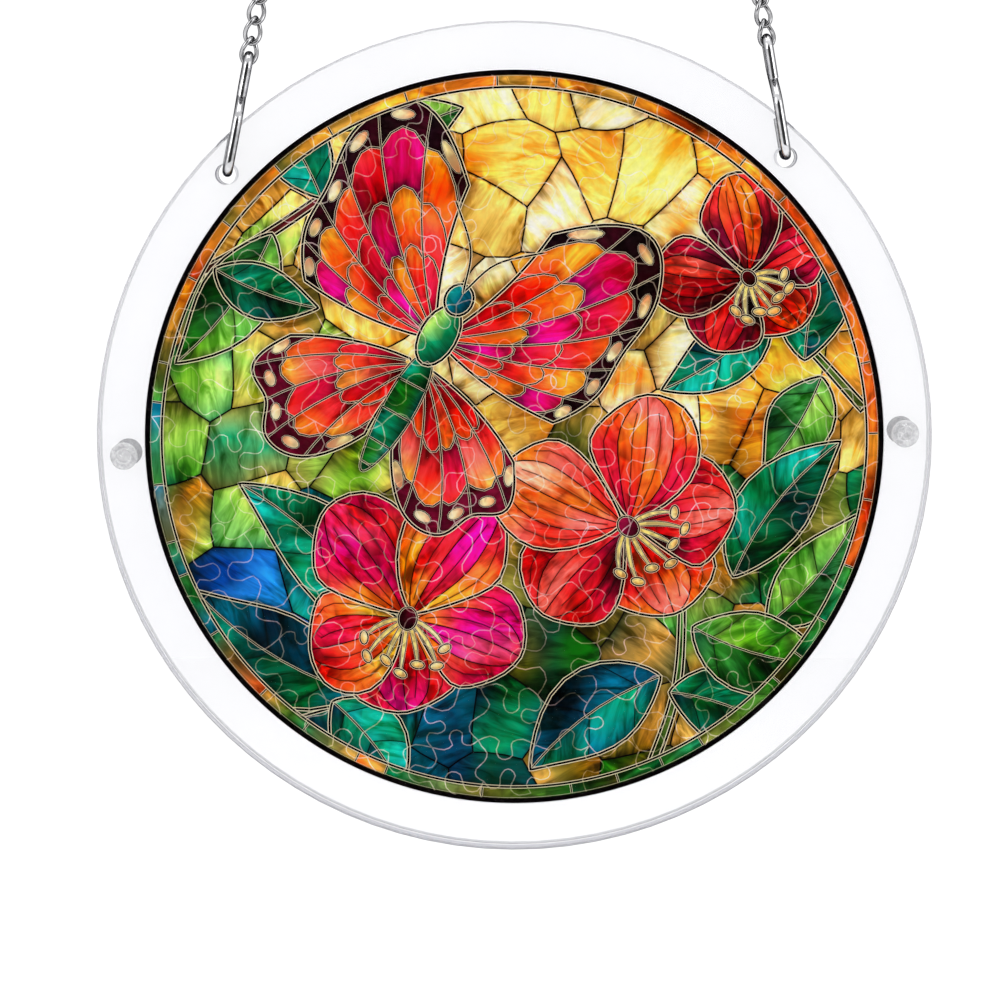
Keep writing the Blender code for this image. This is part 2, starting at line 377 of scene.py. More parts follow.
def draw_butterfly(picture, centre, turn, size):
    """A butterfly from above, its wings spread and its head along the turn."""
    centre = np.array(centre, float)
    ahead = ahead_at(turn)
    hind = ("maroon crimson scarlet", "wine scarlet orange", "crimson coral amber")
    fore = ("wine crimson scarlet", "crimson scarlet orange", "scarlet orange amber",
            "maroon magenta crimson")
    for side in (-1, 1):
        lower = wing(centre - ahead * size * 0.05, (turn + side * 1.75, turn + side * 2.85),
                     np.array((0.62, 0.78, 0.74, 0.80, 0.70, 0.42)) * size, side * 0.25)
        draw_wing(picture, lower, np.linspace(0, 1, 6), (0.10, 0.48, 0.80), hind, "wine")
        upper = wing(centre + ahead * size * 0.08, (turn + side * 0.42, turn + side * 1.78),
                     np.array((0.72, 1.08, 1.04, 0.86, 0.78, 0.66)) * size, side * -0.22)
        draw_wing(picture, upper, np.linspace(0, 1, 7), (0.08, 0.36, 0.60, 0.84), fore, "ink")
    tail = centre - ahead * size * 0.62
    abdomen = blade(centre, tail, size * 0.075, 0.03, swell=0.8, blunt=0.5)
    cuts = np.linspace(0, 1, 7)
    rings = ("teal leaf emerald", "forest emerald jade")
    for i, (a, b) in enumerate(zip(cuts, cuts[1:])):
        outline = cell(abdomen, [(a, -1), (b, -1), (b, 1), (a, 1)], 5)
        picture.pane(outline, rings[i % 2], turn + QUARTER_TURN, edge=INNER)
    for along, radii, shades in ((0.10, (0.15, 0.085), "forest emerald lime"),
                                 (0.29, (0.075, 0.065), "deep teal jade")):
        ball = ellipse(centre + ahead * size * along, np.array(radii) * size, turn)
        picture.pane(ball, shades, turn + 1.2, edge=OUTLINE)
    for side in (-1, 1):
        way = turn + side * 0.35
        start = centre + ahead * size * 0.33
        middle = start + size * 0.2 * ahead_at(way)
        tip = start + size * 0.42 * ahead_at(way + side * 0.25)
        picture.line(smooth_curve([start, middle, tip]), ANTENNA, closed=False)


def draw_stem(picture, points, width, colors):
    """A tapering stem along a smooth curve."""
    path = smooth_curve(points, steps=8)
    slope = np.gradient(path, axis=0)
    normal = np.stack((-slope[:, 1], slope[:, 0]), 1) / np.linalg.norm(slope, axis=1)[:, None]
    wide = np.linspace(width, width * 0.45, len(path))[:, None] / 2
    outline = np.vstack((path + normal * wide, (path - normal * wide)[::-1]))
    picture.pane(outline, colors, heading(path[0], path[-1]), edge=OUTLINE)


# The background's colours, each set with the place that it lies round
ZONES = (
    ((40, 58), "cream yellow amber yellow"),
    ((70, 25), "amber yellow lime ochre"),
    ((5, 70), "yellow amber cream ochre"),
    ((-42, 62), "ochre amber lime yellow"),
    ((-72, 12), "olive emerald ochre lime"),
    ((-62, -40), "teal blue deep jade"),
    ((-20, -72), "deep teal forest emerald"),
    ((25, -72), "olive leaf ochre forest"),
    ((62, -48), "leaf olive ochre emerald"),
    ((5, -10), "olive forest moss ochre"),
    ((10, 20), "amber yellow ochre cream"),
)


def warped(points):
    """The points moved a little by smooth waves, so that straight cuts curve."""
    x, y = points[:, 0], points[:, 1]
    sideways = np.sin(y * 0.11 + 0.6) + 0.5 * np.sin(x * 0.19)
    upwards = np.sin(x * 0.13 + 2.0) + 0.5 * np.sin(y * 0.21)
    return points + 2.4 * np.stack((sideways, upwards), 1)


def clipped(polygon, point, normal):
    """The part of a convex polygon on the near side of a line."""
    kept = []
    for a, b in zip(polygon, polygon[1:] + polygon[:1]):
        da, db = np.dot(a - point, normal), np.dot(b - point, normal)
        if da <= 0:
            kept.append(a)
        if da * db < 0:
            kept.append(a + (b - a) * da / (da - db))
    return kept


def cell_of(seed, seeds, side):
    """The convex cell of one seed among all the others, as a list of corners."""
    polygon = [seed + side * np.array(way) for way in ((-1, -1), (1, -1), (1, 1), (-1, 1))]
    for other in seeds:
        gap = other - seed
        if other is not seed and np.hypot(*gap) < 1.5 * side:
            polygon = clipped(polygon, (seed + other) / 2, gap)
    return polygon


def draw_background(picture, rng, spacing=17.0):
    """Irregular panes between jittered points, coloured by where they lie."""
    seeds = []
    count = int(2 * ART_RADIUS / spacing) + 2
    for row in range(-count // 2, count // 2 + 1):
        for column in range(-count // 2, count // 2 + 1):
            jitter = (rng.uniform(-0.33, 0.33), rng.uniform(-0.33, 0.33))
            seeds.append(np.array((column + 0.5 * (row % 2) + jitter[0], row + jitter[1])) * spacing)
    lines = {}
    for seed in seeds:
        if np.hypot(*seed) > ART_RADIUS + spacing:
            continue
        polygon = cell_of(seed, seeds, 2.2 * spacing)
        path = []
        for a, b in zip(polygon, polygon[1:] + polygon[:1]):
            steps = max(1, round(np.hypot(*(b - a)) / 3.5))
            path += [a + (b - a) * i / steps for i in range(steps)]
            key = tuple(sorted((tuple(np.round(a, 2)), tuple(np.round(b, 2)))))
            lines.setdefault(key, np.linspace(a, b, steps + 1))
        near = min(ZONES, key=lambda zone: np.hypot(*(seed - zone[0])) * rng.uniform(0.85, 1.15))
        first, second, third = rng.sample(near[1].split(), 3)
        picture.pane(warped(np.array(path)), [first, second, first if rng.random() < 0.5 else third],
                     rng.uniform(0, math.pi))
    for path in lines.values():
        picture.line(warped(path), PLAIN, closed=False)


def sector(low, high, start, end):
    """The outline of a piece of a ring, between two radii and two angles."""
    count = max(3, round((end - start) * high / 1.6))
    angles = np.linspace(start, end, count)
    ways = np.stack((np.cos(angles), np.sin(angles)), 1)
    return np.vstack((ways * high, (ways * low)[::-1]))


# The border's colours, each set with its angle in degrees
BORDER_COLORS = (
    (0, "orange amber rust"),
    (50, "amber orange rust"),
    (95, "orange amber ochre"),
    (140, "amber rust olive"),
    (185, "olive teal leaf"),
    (230, "emerald ochre orange"),
    (275, "leaf emerald olive"),
    (320, "leaf olive emerald"),
    (360, "orange amber rust"),
)


def draw_border(picture, rng):
    """The band of short panes, its inner lead line and the black rim, over all else."""
    low, high = ART_RADIUS, PICTURE_RADIUS - RIM_WIDTH
    cuts = [0.0]
    while cuts[-1] < 2 * math.pi - 12 / high:
        cuts.append(cuts[-1] + rng.uniform(7, 26) / high)
    cuts[-1] = 2 * math.pi
    for start, end in zip(cuts, cuts[1:]):
        middle = (start + end) / 2
        shades = min(BORDER_COLORS, key=lambda entry: abs(entry[0] - math.degrees(middle)))[1]
        picture.pane(sector(low, high, start, end), rng.sample(shades.split(), 2), middle + math.pi / 2)
    for angle in cuts[1:]:
        way = ahead_at(angle)
        picture.line(np.linspace(way * low, way * high, 3), INNER, closed=False)
    circle = ellipse((0, 0), (1, 1), 0, CIRCLE_STEPS)
    picture.line(circle * ART_RADIUS, BORDER_LINE)
    picture.line(circle * (high - 0.1), FINE, ink=0.6)
    picture.steps.append(("rim", circle * high))


def cut_edge(start, end, rng):
    """One wavy jigsaw cut between two corners, mostly with a round knob."""
    start, end = np.array(start), np.array(end)
    run = end - start
    side = np.array((-run[1], run[0])) * rng.choice((-1, 1))
    shift, swell = rng.uniform(-0.08, 0.08), rng.uniform(0.85, 1.15)
    if rng.random() < KNOB_SHARE:
        shape = [(0, 0), (0.22, -0.10), (0.40, -0.02), (0.36, 0.15), (0.42, 0.30), (0.54, 0.33),
                 (0.65, 0.24), (0.62, 0.08), (0.64, -0.03), (0.80, -0.09), (1, 0)]
    else:
        shape = [(0, 0), (0.18, 0.16), (0.38, 0.14), (0.55, -0.08), (0.72, -0.17), (0.88, -0.06), (1, 0)]
    path = [start + run * (x + shift * math.sin(math.pi * x)) + side * y * swell for x, y in shape]
    return smooth_curve(path, steps=2)


def jigsaw_cuts(rng, pitch=13.2):
    """Cut lines on a loose grid, each as far as it stays on the disc."""
    count = int(PICTURE_RADIUS / pitch) + 2
    corners = {}
    for i in range(-count, count + 1):
        for j in range(-count, count + 1):
            jitter = np.array((rng.uniform(-0.17, 0.17), rng.uniform(-0.17, 0.17)))
            corners[i, j] = warped(np.array([[i + 0.3, j + 0.4] + jitter]) * pitch)[0]
    cuts = []
    for (i, j), corner in sorted(corners.items()):
        for other in ((i + 1, j), (i, j + 1)):
            if other not in corners:
                continue
            path = cut_edge(corner, corners[other], rng)
            within = np.hypot(path[:, 0], path[:, 1]) < PICTURE_RADIUS - RIM_WIDTH - 0.1
            if within.all():
                cuts.append(path)
            elif within[0] or within[-1]:
                if within[-1]:
                    path, within = path[::-1], within[::-1]
                kept = path[: max(np.argmin(within), 1) + 1]
                last = kept[-1] * (PICTURE_RADIUS - RIM_WIDTH) / np.hypot(*kept[-1])
                if len(kept) > 2:
                    cuts.append(np.vstack((kept[:-1], last)))
    return cuts


def design():
    """The whole picture: butterfly, flowers and leaves over panes of glass."""
    rng = random.Random(DESIGN_SEED)
    picture = Picture()
    draw_background(picture, rng)
    greens, cool, dark = "lime leaf forest", "jade emerald deep", "emerald teal deep"
    draw_stem(picture, [(-84, 38), (-60, 50), (-36, 66), (-20, 84)], 2.6, "brown wine")
    draw_stem(picture, [(30, -84), (38, -60), (40, -30)], 2.4, "moss leaf")
    draw_stem(picture, [(84, 6), (70, 22), (56, 34)], 2.2, "moss leaf")
    draw_stem(picture, [(-60, -66), (-40, -60), (-24, -46)], 2.2, "forest leaf")
    for base, tip, width, bend, colors in (
        ((-56, 52), (-80, 22), 8.5, 0.12, greens),
        ((-44, 60), (-58, 84), 7.5, -0.1, cool),
        ((-34, 66), (-10, 80), 7.5, 0.14, greens),
        ((-70, 44), (-46, 34), 6.5, -0.1, cool),
        ((70, 18), (80, 52), 9.0, 0.12, cool),
        ((74, 14), (60, -8), 8.0, 0.1, greens),
        ((62, 30), (36, 12), 7.5, 0.12, cool),
        ((-40, -60), (-78, -34), 11.0, 0.14, dark),
        ((-46, -62), (-30, -84), 9.0, 0.1, cool),
        ((34, -58), (2, -80), 10.5, -0.14, dark),
        ((36, -62), (66, -76), 9.5, 0.16, cool),
        ((-30, -50), (-66, -8), 10.5, -0.16, cool),
        ((60, -46), (82, -20), 8.5, -0.12, greens),
        ((42, -46), (76, -56), 10.0, -0.14, greens),
        ((52, -34), (78, -2), 9.0, 0.14, cool),
    ):
        draw_leaf(picture, base, tip, width, bend, colors.split())
    warm = ("wine crimson scarlet coral", "crimson scarlet orange coral", "scarlet coral orange peach")
    pink = ("amber scarlet crimson magenta", "orange crimson magenta rose",
            "yellow orange scarlet crimson")
    deep = ("maroon crimson scarlet", "wine scarlet orange", "wine crimson coral")
    draw_flower(picture, (57, 38), 21, 0.5, deep, 5, 2.2)
    draw_flower(picture, (-27, -42), 29, 0.9, pink, 5, 1.4)
    draw_flower(picture, (27, -21), 29, 0.15, warm, 5, 2.4)
    draw_butterfly(picture, (-20, 22), 1.02, 52)
    draw_border(picture, rng)
    return picture, jigsaw_cuts(rng)


def contains(outline, points):
    """Which points lie inside a closed outline."""
    found = np.zeros(len(points), bool)
    x, y = points[:, 0], points[:, 1]
    for (ax, ay), (bx, by) in zip(outline, np.roll(outline, -1, axis=0)):
        if ay != by:
            crosses = (ay > y) != (by > y)
            found ^= crosses & (x < (bx - ax) * (y - ay) / (by - ay) + ax)
    return found


def segment_gap(points, a, b):
    """How far each point lies from one straight stretch."""
    run = b - a
    part = np.clip((points - a) @ run / max(run @ run, 1e-12), 0, 1)
    return np.linalg.norm(points - a - part[:, None] * run, axis=1)


class Lookup:
    """Points sorted into square bins, so that those near a path are found quickly."""

    def __init__(self, points, size=3.0):
        self.points, self.size, self.low = points, size, points.min(0)
        bins = ((points - self.low) / size).astype(int)
        self.columns = bins[:, 0].max() + 1
        key = bins[:, 1] * self.columns + bins[:, 0]
        self.order = np.argsort(key, kind="stable")
        self.key = key[self.order]

    def near(self, path, margin=0.0):
        """The numbers of the points in and round the path's box."""
        low = np.floor((path.min(0) - margin - self.low) / self.size).astype(int)
        high = np.floor((path.max(0) + margin - self.low) / self.size).astype(int)
        first, last = max(low[0], 0), min(high[0], self.columns - 1)
        rows = np.arange(max(low[1], 0), high[1] + 1) * self.columns
        starts = np.searchsorted(self.key, rows + first)
        ends = np.searchsorted(self.key, rows + max(last + 1, first))
        return np.concatenate([self.order[:0]] + [self.order[a:b] for a, b in zip(starts, ends)])

    def inside(self, outline):
        """The numbers of the points inside a closed outline."""
        index = self.near(outline)
        return index[contains(outline, self.points[index])]

    def beside(self, path, closed, reach):
        """The numbers of the points within reach of a path, and their distances."""
        ends = np.roll(path, -1, axis=0) if closed else path[1:]
        index, gap = [self.order[:0]], [np.zeros(0)]
        for a, b in zip(path, ends):
            found = self.near(np.array((a, b)), reach)
            far = segment_gap(self.points[found], a, b)
            index.append(found[far <= reach])
            gap.append(far[far <= reach])
        index, gap = np.concatenate(index), np.concatenate(gap)
        order = np.lexsort((gap, index))
        first = np.diff(index[order], prepend=-1) > 0
        return index[order][first], gap[order][first]


def moved_aside(path, closed, offset):
    """The path moved sideways."""
    if closed:
        slope = np.roll(path, -1, axis=0) - np.roll(path, 1, axis=0)
    else:
        slope = np.gradient(path, axis=0)
    length = np.maximum(np.linalg.norm(slope, axis=1, keepdims=True), 1e-9)
    return path + offset * np.stack((-slope[:, 1], slope[:, 0]), 1) / length


def covered(points, panes, boxes):
    """Which points lie under any of the given panes."""
    found = np.zeros(len(points), bool)
    meets = (boxes[:, :2] < points.max(0)).all(1) & (boxes[:, 2:] > points.min(0)).all(1)
    for i in np.flatnonzero(meets):
        found |= contains(panes[i], points)
    return found


def constraint_edges(picture, cuts):
    """Every edge that the triangles have to follow, as points and index pairs."""
    points, edges = [], []

    def add(path, closed, under=None):
        base, count = len(points), len(path)
        points.extend(path)
        for i in range(count if closed else count - 1):
            j = (i + 1) % count
            if under is None or not (under[i] and under[j]):
                edges.append((base + i, base + j))

    outlines = [pane["outline"] for pane in picture.panes]
    boxes = np.array([(*outline.min(0), *outline.max(0)) for outline in outlines])
    seen = 0
    for kind, step in picture.steps:
        if kind == "pane":
            seen += 1
        elif kind == "rim":
            add(step, True)
        else:
            half, pale = step["widths"]
            under = covered(step["points"], outlines[seen:], boxes[seen:])
            for offset in sorted({-half - pale, -half, half, half + pale}):
                add(moved_aside(step["points"], step["closed"], offset), step["closed"], under)
    for path in cuts:
        for offset in (-CUT_HALF_WIDTH, CUT_HALF_WIDTH):
            add(moved_aside(path, False, offset), False)
    add(ellipse((0, 0), (PICTURE_RADIUS, PICTURE_RADIUS), 0, CIRCLE_STEPS), True)
    return points, edges


def filler_points(rng, pitch=2.8):
    """Loose points all over the picture, which carry its shading."""
    count = int(PICTURE_RADIUS / pitch)
    out = []
    for i in range(-count, count + 1):
        for j in range(-count, count + 1):
            point = np.array((i + rng.uniform(-0.3, 0.3), j + rng.uniform(-0.3, 0.3))) * pitch
            if np.hypot(*point) < ART_RADIUS - 0.6:
                out.append(point)
    return out


def triangulated(picture, cuts):
    """The picture's flat triangles: points and corner indices."""
    points, edges = constraint_edges(picture, cuts)
    points = points + filler_points(random.Random(FILLER_SEED))
    limit = PICTURE_RADIUS
    safe = [p if np.hypot(*p) <= limit else p * limit / np.hypot(*p) for p in points]
    used = delaunay_2d_cdt([Vector(p) for p in safe], edges, [], 0, 1e-4, False)
    verts = np.array([tuple(v) for v in used[0]])
    faces = np.array([f for f in used[2] if len(f) == 3])
    a, b, c = verts[faces[:, 0]], verts[faces[:, 1]], verts[faces[:, 2]]
    area = (b[:, 0] - a[:, 0]) * (c[:, 1] - a[:, 1]) - (b[:, 1] - a[:, 1]) * (c[:, 0] - a[:, 0])
    faces[area < 0] = faces[area < 0][:, ::-1]
    return verts, faces[np.abs(area) > 1e-9]


def painted(picture, cuts, centres):
    """For each triangle: its pane, how dark and how pale it is, and if it is cut."""
    lookup = Lookup(centres)
    count = len(centres)
    pane = np.zeros(count, int)
    ink, pale = np.zeros(count), np.zeros(count)
    for kind, step in picture.steps:
        if kind == "pane":
            index = lookup.inside(picture.panes[step]["outline"])
            pane[index], ink[index], pale[index] = step, 0, 0
        elif kind == "rim":
            outside = ~contains(step, centres)
            ink[outside], pale[outside] = 2.0, 0
        else:
            half, width = step["widths"]
            index, gap = lookup.beside(step["points"], step["closed"], half + width)
            light, dark = index[gap > half], index[gap <= half]
            ink[light], pale[light] = 0, 1
            ink[dark], pale[dark] = step["ink"], 0
    cut = np.zeros(count, bool)
    for path in cuts:
        cut[lookup.beside(path, False, CUT_HALF_WIDTH)[0]] = True
    return pane, ink, pale, cut


def pane_colors(pane, points):
    """The pane's colour at each point, run along its grain with a soft waver."""
    low, span = pane["span"]
    along = (points @ pane["grain"] - low) / span
    waver = np.sin(points[:, 0] * 0.35 + pane["seed"] * 9) * np.sin(points[:, 1] * 0.31 + pane["seed"])
    place = np.clip(along + 0.12 * waver, 0, 1) * (len(pane["colors"]) - 1)
    first = np.minimum(place.astype(int), len(pane["colors"]) - 2)
    part = (place - first)[:, None]
    return pane["colors"][first] * (1 - part) + pane["colors"][first + 1] * part


def corner_colors(picture, verts, faces, pane, ink, pale, cut):
    """The colour at each triangle's corners."""
    corners = verts[faces]
    colors = np.zeros((len(faces), 3, 3))
    for i, entry in enumerate(picture.panes):
        mine = np.flatnonzero(pane == i)
        if len(mine):
            colors[mine] = pane_colors(entry, corners[mine].reshape(-1, 2)).reshape(-1, 3, 3)
    edge = np.zeros(len(verts), bool)
    edge[faces[(ink > 0) | (pale > 0)].ravel()] = True
    glass = (ink == 0) & (pale == 0)
    colors[glass] *= np.where(edge[faces[glass]], 0.62, 1.16)[..., None]
    light = linear(PALE)
    colors[pale > 0] = colors[pale > 0] * 0.25 + light * 0.75
    dark = linear(GLASS["ink"])
    strength = np.clip(ink, 0, 1)[:, None, None]
    colors = np.where(ink[:, None, None] > 0, colors * 0.4 * (1 - strength) + dark * strength, colors)
    colors[cut] = colors[cut] * 0.66 + light * 0.32
    return np.clip(colors, 0, 1)


def groove_walls(faces, cut, count):
    """The cut faces sunk on new points, and the walls that join them to the face."""
    edges = np.concatenate((faces[:, [0, 1]], faces[:, [1, 2]], faces[:, [2, 0]]))
    owner = np.tile(np.arange(len(faces)), 3)
    key = np.sort(edges, axis=1)
    order = np.lexsort((key[:, 1], key[:, 0]))
    key, edges, owner = key[order], edges[order], owner[order]
    same = np.flatnonzero((key[1:] == key[:-1]).all(1))
    mixed = same[cut[owner[same]] != cut[owner[same + 1]]]
    pick = np.where(cut[owner[mixed]], mixed, mixed + 1)
    sunk = np.unique(faces[cut])
    moved = np.arange(count)
    moved[sunk] = count + np.arange(len(sunk))
    a, b = edges[pick].T
    walls = np.concatenate((np.stack((a, b, moved[b]), 1), np.stack((a, moved[b], moved[a]), 1)))
    wall_owner = np.concatenate((owner[pick], owner[pick]))
    return sunk, moved, walls, wall_owner


def picture_faces(picture, cuts):
    """The picture's flat triangles with their colours, grain and streakiness."""
    verts, faces = triangulated(picture, cuts)
    centres = verts[faces].mean(1)
    inner = np.hypot(centres[:, 0], centres[:, 1]) < PICTURE_RADIUS
    faces, centres = faces[inner], centres[inner]
    pane, ink, pale, cut = painted(picture, cuts, centres)
    colors = corner_colors(picture, verts, faces, pane, ink, pale, cut)
    grain = np.array([(*entry["grain"], entry["seed"]) for entry in picture.panes])[pane]
    streak = np.array([entry["streak"] for entry in picture.panes])[pane]
    streak = np.where((ink > 0) | (pale > 0), 0.15, streak)
    return {"verts": verts, "faces": faces, "cut": cut, "colors": colors, "grain": grain,
            "streak": streak}


def sheet_mesh(name, flat, side):
    """One face of the jigsaw with its cut grooves. Side is -1 for the front, 1 for the back."""
    verts, faces, cut = flat["verts"], flat["faces"], flat["cut"]
    sunk, moved, walls, owner = groove_walls(faces, cut, len(verts))
    count = len(verts)
    points = np.zeros((count + len(sunk), 3))
    points[:count, 0], points[:count, 2] = verts[:, 0], verts[:, 1]
    points[count:] = points[sunk]
    points[:, 1] = side * (PICTURE_HIGH.y - CENTRE.y) / MM
    points[count:, 1] -= side * CUT_DEPTH
    top = faces.copy()
    top[cut] = moved[faces[cut]]
    # Painted shade: the groove walls take their cut face's colour a fifth darker.
    wall_colors = flat["colors"][owner].mean(1, keepdims=True).repeat(3, axis=1) * 0.8
    colors = np.concatenate((flat["colors"], wall_colors))
    source = np.concatenate((np.arange(len(faces)), owner))
    all_faces = np.concatenate((top, walls))
    if side > 0:
        all_faces, colors = all_faces[:, ::-1], colors[:, ::-1]
    mesh = bpy.data.meshes.new(name)
    mesh.from_pydata(points * MM, [], all_faces.tolist())
    rgba = np.ones((len(all_faces) * 3, 4))
    rgba[:, :3] = colors.reshape(-1, 3)
    mesh.attributes.new("glass", "FLOAT_COLOR", "CORNER").data.foreach_set("color", rgba.ravel())
    grain = flat["grain"][source].ravel()
    mesh.attributes.new("grain", "FLOAT_VECTOR", "FACE").data.foreach_set("vector", grain)
    mesh.attributes.new("streak", "FLOAT", "FACE").data.foreach_set("value", flat["streak"][source])
    return mesh


def band_mesh(name, rounds, low, high):
    """Thin bands between two depths of the disc, each round a centre with a radius."""
    points, faces = [], []
    for centre, radius in rounds:
        circle = ellipse(centre, (radius, radius), 0, max(24, round(2.2 * radius)))
        first, count = len(points), len(circle)
        points += [(x * MM, y * MM, z * MM) for y in (low, high) for x, z in circle]
        for i in range(count):
            a, b = first + i, first + (i + 1) % count
            faces.append((a, b, b + count, a + count))
    mesh = bpy.data.meshes.new(name)
    mesh.from_pydata(points, [], faces)
    mesh.shade_smooth()
    return mesh


class Nodes:
    """A short way to write the nodes of a material, or of the world."""

    def __init__(self, name, owners="materials", shader="Principled BSDF"):
        self.owner = getattr(bpy.data, owners).new(name)
        self.owner.use_nodes = True
        self.tree = self.owner.node_tree
        self.shader = self.tree.nodes[shader]

    def add(self, kind, inputs=(), **settings):
        node = self.tree.nodes.new("ShaderNode" + kind)
        for key, value in settings.items():
            setattr(node, key, value)
        for key, value in dict(inputs).items():
            self.feed(node.inputs[key], value)
        return node

    def feed(self, socket, value):
        if isinstance(value, bpy.types.NodeSocket):
            self.tree.links.new(value, socket)
        else:
            filled = socket.type == "RGBA" and len(value) == 3
            socket.default_value = (*value, 1.0) if filled else value

    def math(self, operation, a, b=0.0, clamp=False):
        node = self.add("Math", {0: a, 1: b}, operation=operation)
        node.use_clamp = clamp
        return node.outputs[0]

    def mix(self, factor, a, b, blend="MIX"):
        node = self.add("Mix", data_type="RGBA", blend_type=blend, clamp_result=True)
        self.feed(node.inputs["Factor"], factor)
        self.feed(node.inputs["A"], a)
        self.feed(node.inputs["B"], b)
        return node.outputs["Result"]

    def noise(self, scale, detail=3.0, roughness=0.5, distortion=0.0, vector=None):
        """Noise over the object's own coordinates, unless a vector is given."""
        node = self.add("TexNoise", {"Scale": scale, "Detail": detail, "Roughness": roughness,
                                     "Distortion": distortion})
        self.feed(node.inputs["Vector"], self.coordinates() if vector is None else vector)
        return node.outputs["Fac"]

    def attribute(self, name, output):
        return self.add("Attribute", attribute_name=name).outputs[output]

    def ranged(self, value, low, high, to_low=0.0, to_high=1.0):
        node = self.add("MapRange", {"Value": value, "From Min": low, "From Max": high,
                                     "To Min": to_low, "To Max": to_high})
        return node.outputs["Result"]

    def bump(self, height, strength, depth):
        node = self.add("Bump", {"Height": height, "Strength": strength, "Distance": depth})
        self.feed(self.shader.inputs["Normal"], node.outputs["Normal"])

    def coordinates(self):
        return self.add("TexCoord").outputs["Object"]

    def set(self, **values):
        for key, value in values.items():
            self.feed(self.shader.inputs[key.replace("_", " ")], value)


# The print: its streaks to the metre along and across the grain, and how its lights are lifted
STREAK_SCALES = (75.0, 300.0)
BRIGHT_LIFT = (1.9, 1.6, 2.3)
LIGHT_LIFT = (1.35, 1.34, 1.7)


def print_material():
    """Printed glass: each pane's own colours, streaked along its grain."""
    nodes = Nodes("printed_glass")
    color, streak = nodes.attribute("glass", "Color"), nodes.attribute("streak", "Fac")
    grain = nodes.add("SeparateXYZ", {0: nodes.attribute("grain", "Vector")})
    flat = nodes.add("SeparateXYZ", {0: nodes.coordinates()})
    gx, gy, seed = grain.outputs
    x, z = flat.outputs[0], flat.outputs[2]
    along = nodes.math("ADD", nodes.math("MULTIPLY", x, gx), nodes.math("MULTIPLY", z, gy))
    across = nodes.math("SUBTRACT", nodes.math("MULTIPLY", z, gx), nodes.math("MULTIPLY", x, gy))
    along, across = (nodes.math("MULTIPLY", *pair) for pair in zip((along, across), STREAK_SCALES))
    stretched = nodes.add("CombineXYZ", {0: along, 1: across, 2: seed})
    fibres = nodes.noise(1.0, 3.0, 0.6, 1.1, stretched.outputs[0])
    clouds = nodes.noise(110.0, 1.0, 0.6)
    shade = nodes.noise(42.0, 1.0, 0.5)
    flecks = nodes.noise(900.0, 1.0, 0.6)
    rich = nodes.add("Gamma", {0: color, 1: 2.1}).outputs[0]
    bright = nodes.mix(1.0, color, BRIGHT_LIFT, "MULTIPLY")
    streaked = nodes.mix(nodes.ranged(fibres, 0.36, 0.64), rich, bright)
    wash = nodes.mix(nodes.ranged(clouds, 0.36, 0.66, 0.0, 0.5), streaked, color)
    low = nodes.add("Gamma", {0: wash, 1: 2.0}).outputs[0]
    high = nodes.mix(1.0, wash, LIGHT_LIFT, "MULTIPLY")
    wash = nodes.mix(nodes.ranged(shade, 0.38, 0.60), low, high)
    result = nodes.mix(nodes.math("MULTIPLY", streak, 0.95, clamp=True), color, wash)
    result = nodes.mix(nodes.ranged(flecks, 0.3, 0.7, 0.0, 0.08), result, (0.05, 0.04, 0.03))
    nodes.set(Base_Color=result, Roughness=nodes.ranged(flecks, 0.3, 0.7, 0.14, 0.24),
              Specular_IOR_Level=0.0)
    return nodes.owner


def edge_material():
    """The dark cut edge of the jigsaw, a little uneven."""
    nodes = Nodes("dark_cut_edge")
    grit = nodes.noise(1500.0, 3.0)
    nodes.set(Base_Color=nodes.mix(grit, (0.004, 0.004, 0.004), (0.02, 0.018, 0.016)))
    nodes.set(Roughness=nodes.ranged(grit, 0.3, 0.7, 0.35, 0.55))
    nodes.bump(grit, 0.2, 0.0002)
    return nodes.owner


def flatness(nodes):
    """How far a surface faces along the disc's axis, from 0 on its edge to 1."""
    normal = nodes.add("SeparateXYZ", {0: nodes.add("NewGeometry").outputs["Normal"]})
    return nodes.math("ABSOLUTE", normal.outputs[1])


def clear_material():
    """Clear acrylic, faintly uneven all over, with painted shade on its edges: walls a light grey and
    chamfers darker, picked by which way each face turns.
    """
    nodes = Nodes("clear_acrylic")
    flat = flatness(nodes)
    uneven = nodes.noise(30.0, 0.0)
    face = nodes.mix(uneven, (0.99, 0.99, 1.0), (1.0, 1.0, 1.0))
    # Painted shade: walls and chamfers are tinted grey by which way they face, darkest on the chamfers,
    # to draw grey lines round the plates and holes.
    tone = nodes.mix(nodes.ranged(flat, 0.2, 0.6), (0.84, 0.84, 0.89), (0.45, 0.45, 0.47))
    tone = nodes.mix(nodes.ranged(flat, 0.75, 0.97), tone, face)
    nodes.set(Base_Color=tone, IOR=1.33, Transmission_Weight=1.0, Roughness=0.0,
              Specular_Tint=(0.0, 0.0, 0.0))
    return nodes.owner


def sawn_material():
    """The sawn edges: pale lilac grey, matt, finely scored and half see-through."""
    nodes = Nodes("sawn_acrylic")
    scores = nodes.noise(700.0, 2.0)
    nodes.set(Base_Color=nodes.mix(scores, (0.50, 0.50, 0.60), (0.70, 0.70, 0.79)))
    nodes.set(Roughness=nodes.ranged(scores, 0.3, 0.7, 0.35, 0.6), Alpha=0.75)
    return nodes.owner


def spacer_material():
    """The clear ring between the plates, seen only as a faint milkiness."""
    nodes = Nodes("clear_spacer")
    uneven = nodes.noise(40.0, 1.0)
    nodes.set(Base_Color=nodes.mix(uneven, (0.90, 0.91, 0.93), (0.97, 0.97, 0.98)))
    nodes.set(Roughness=0.35, Alpha=0.14)
    return nodes.owner


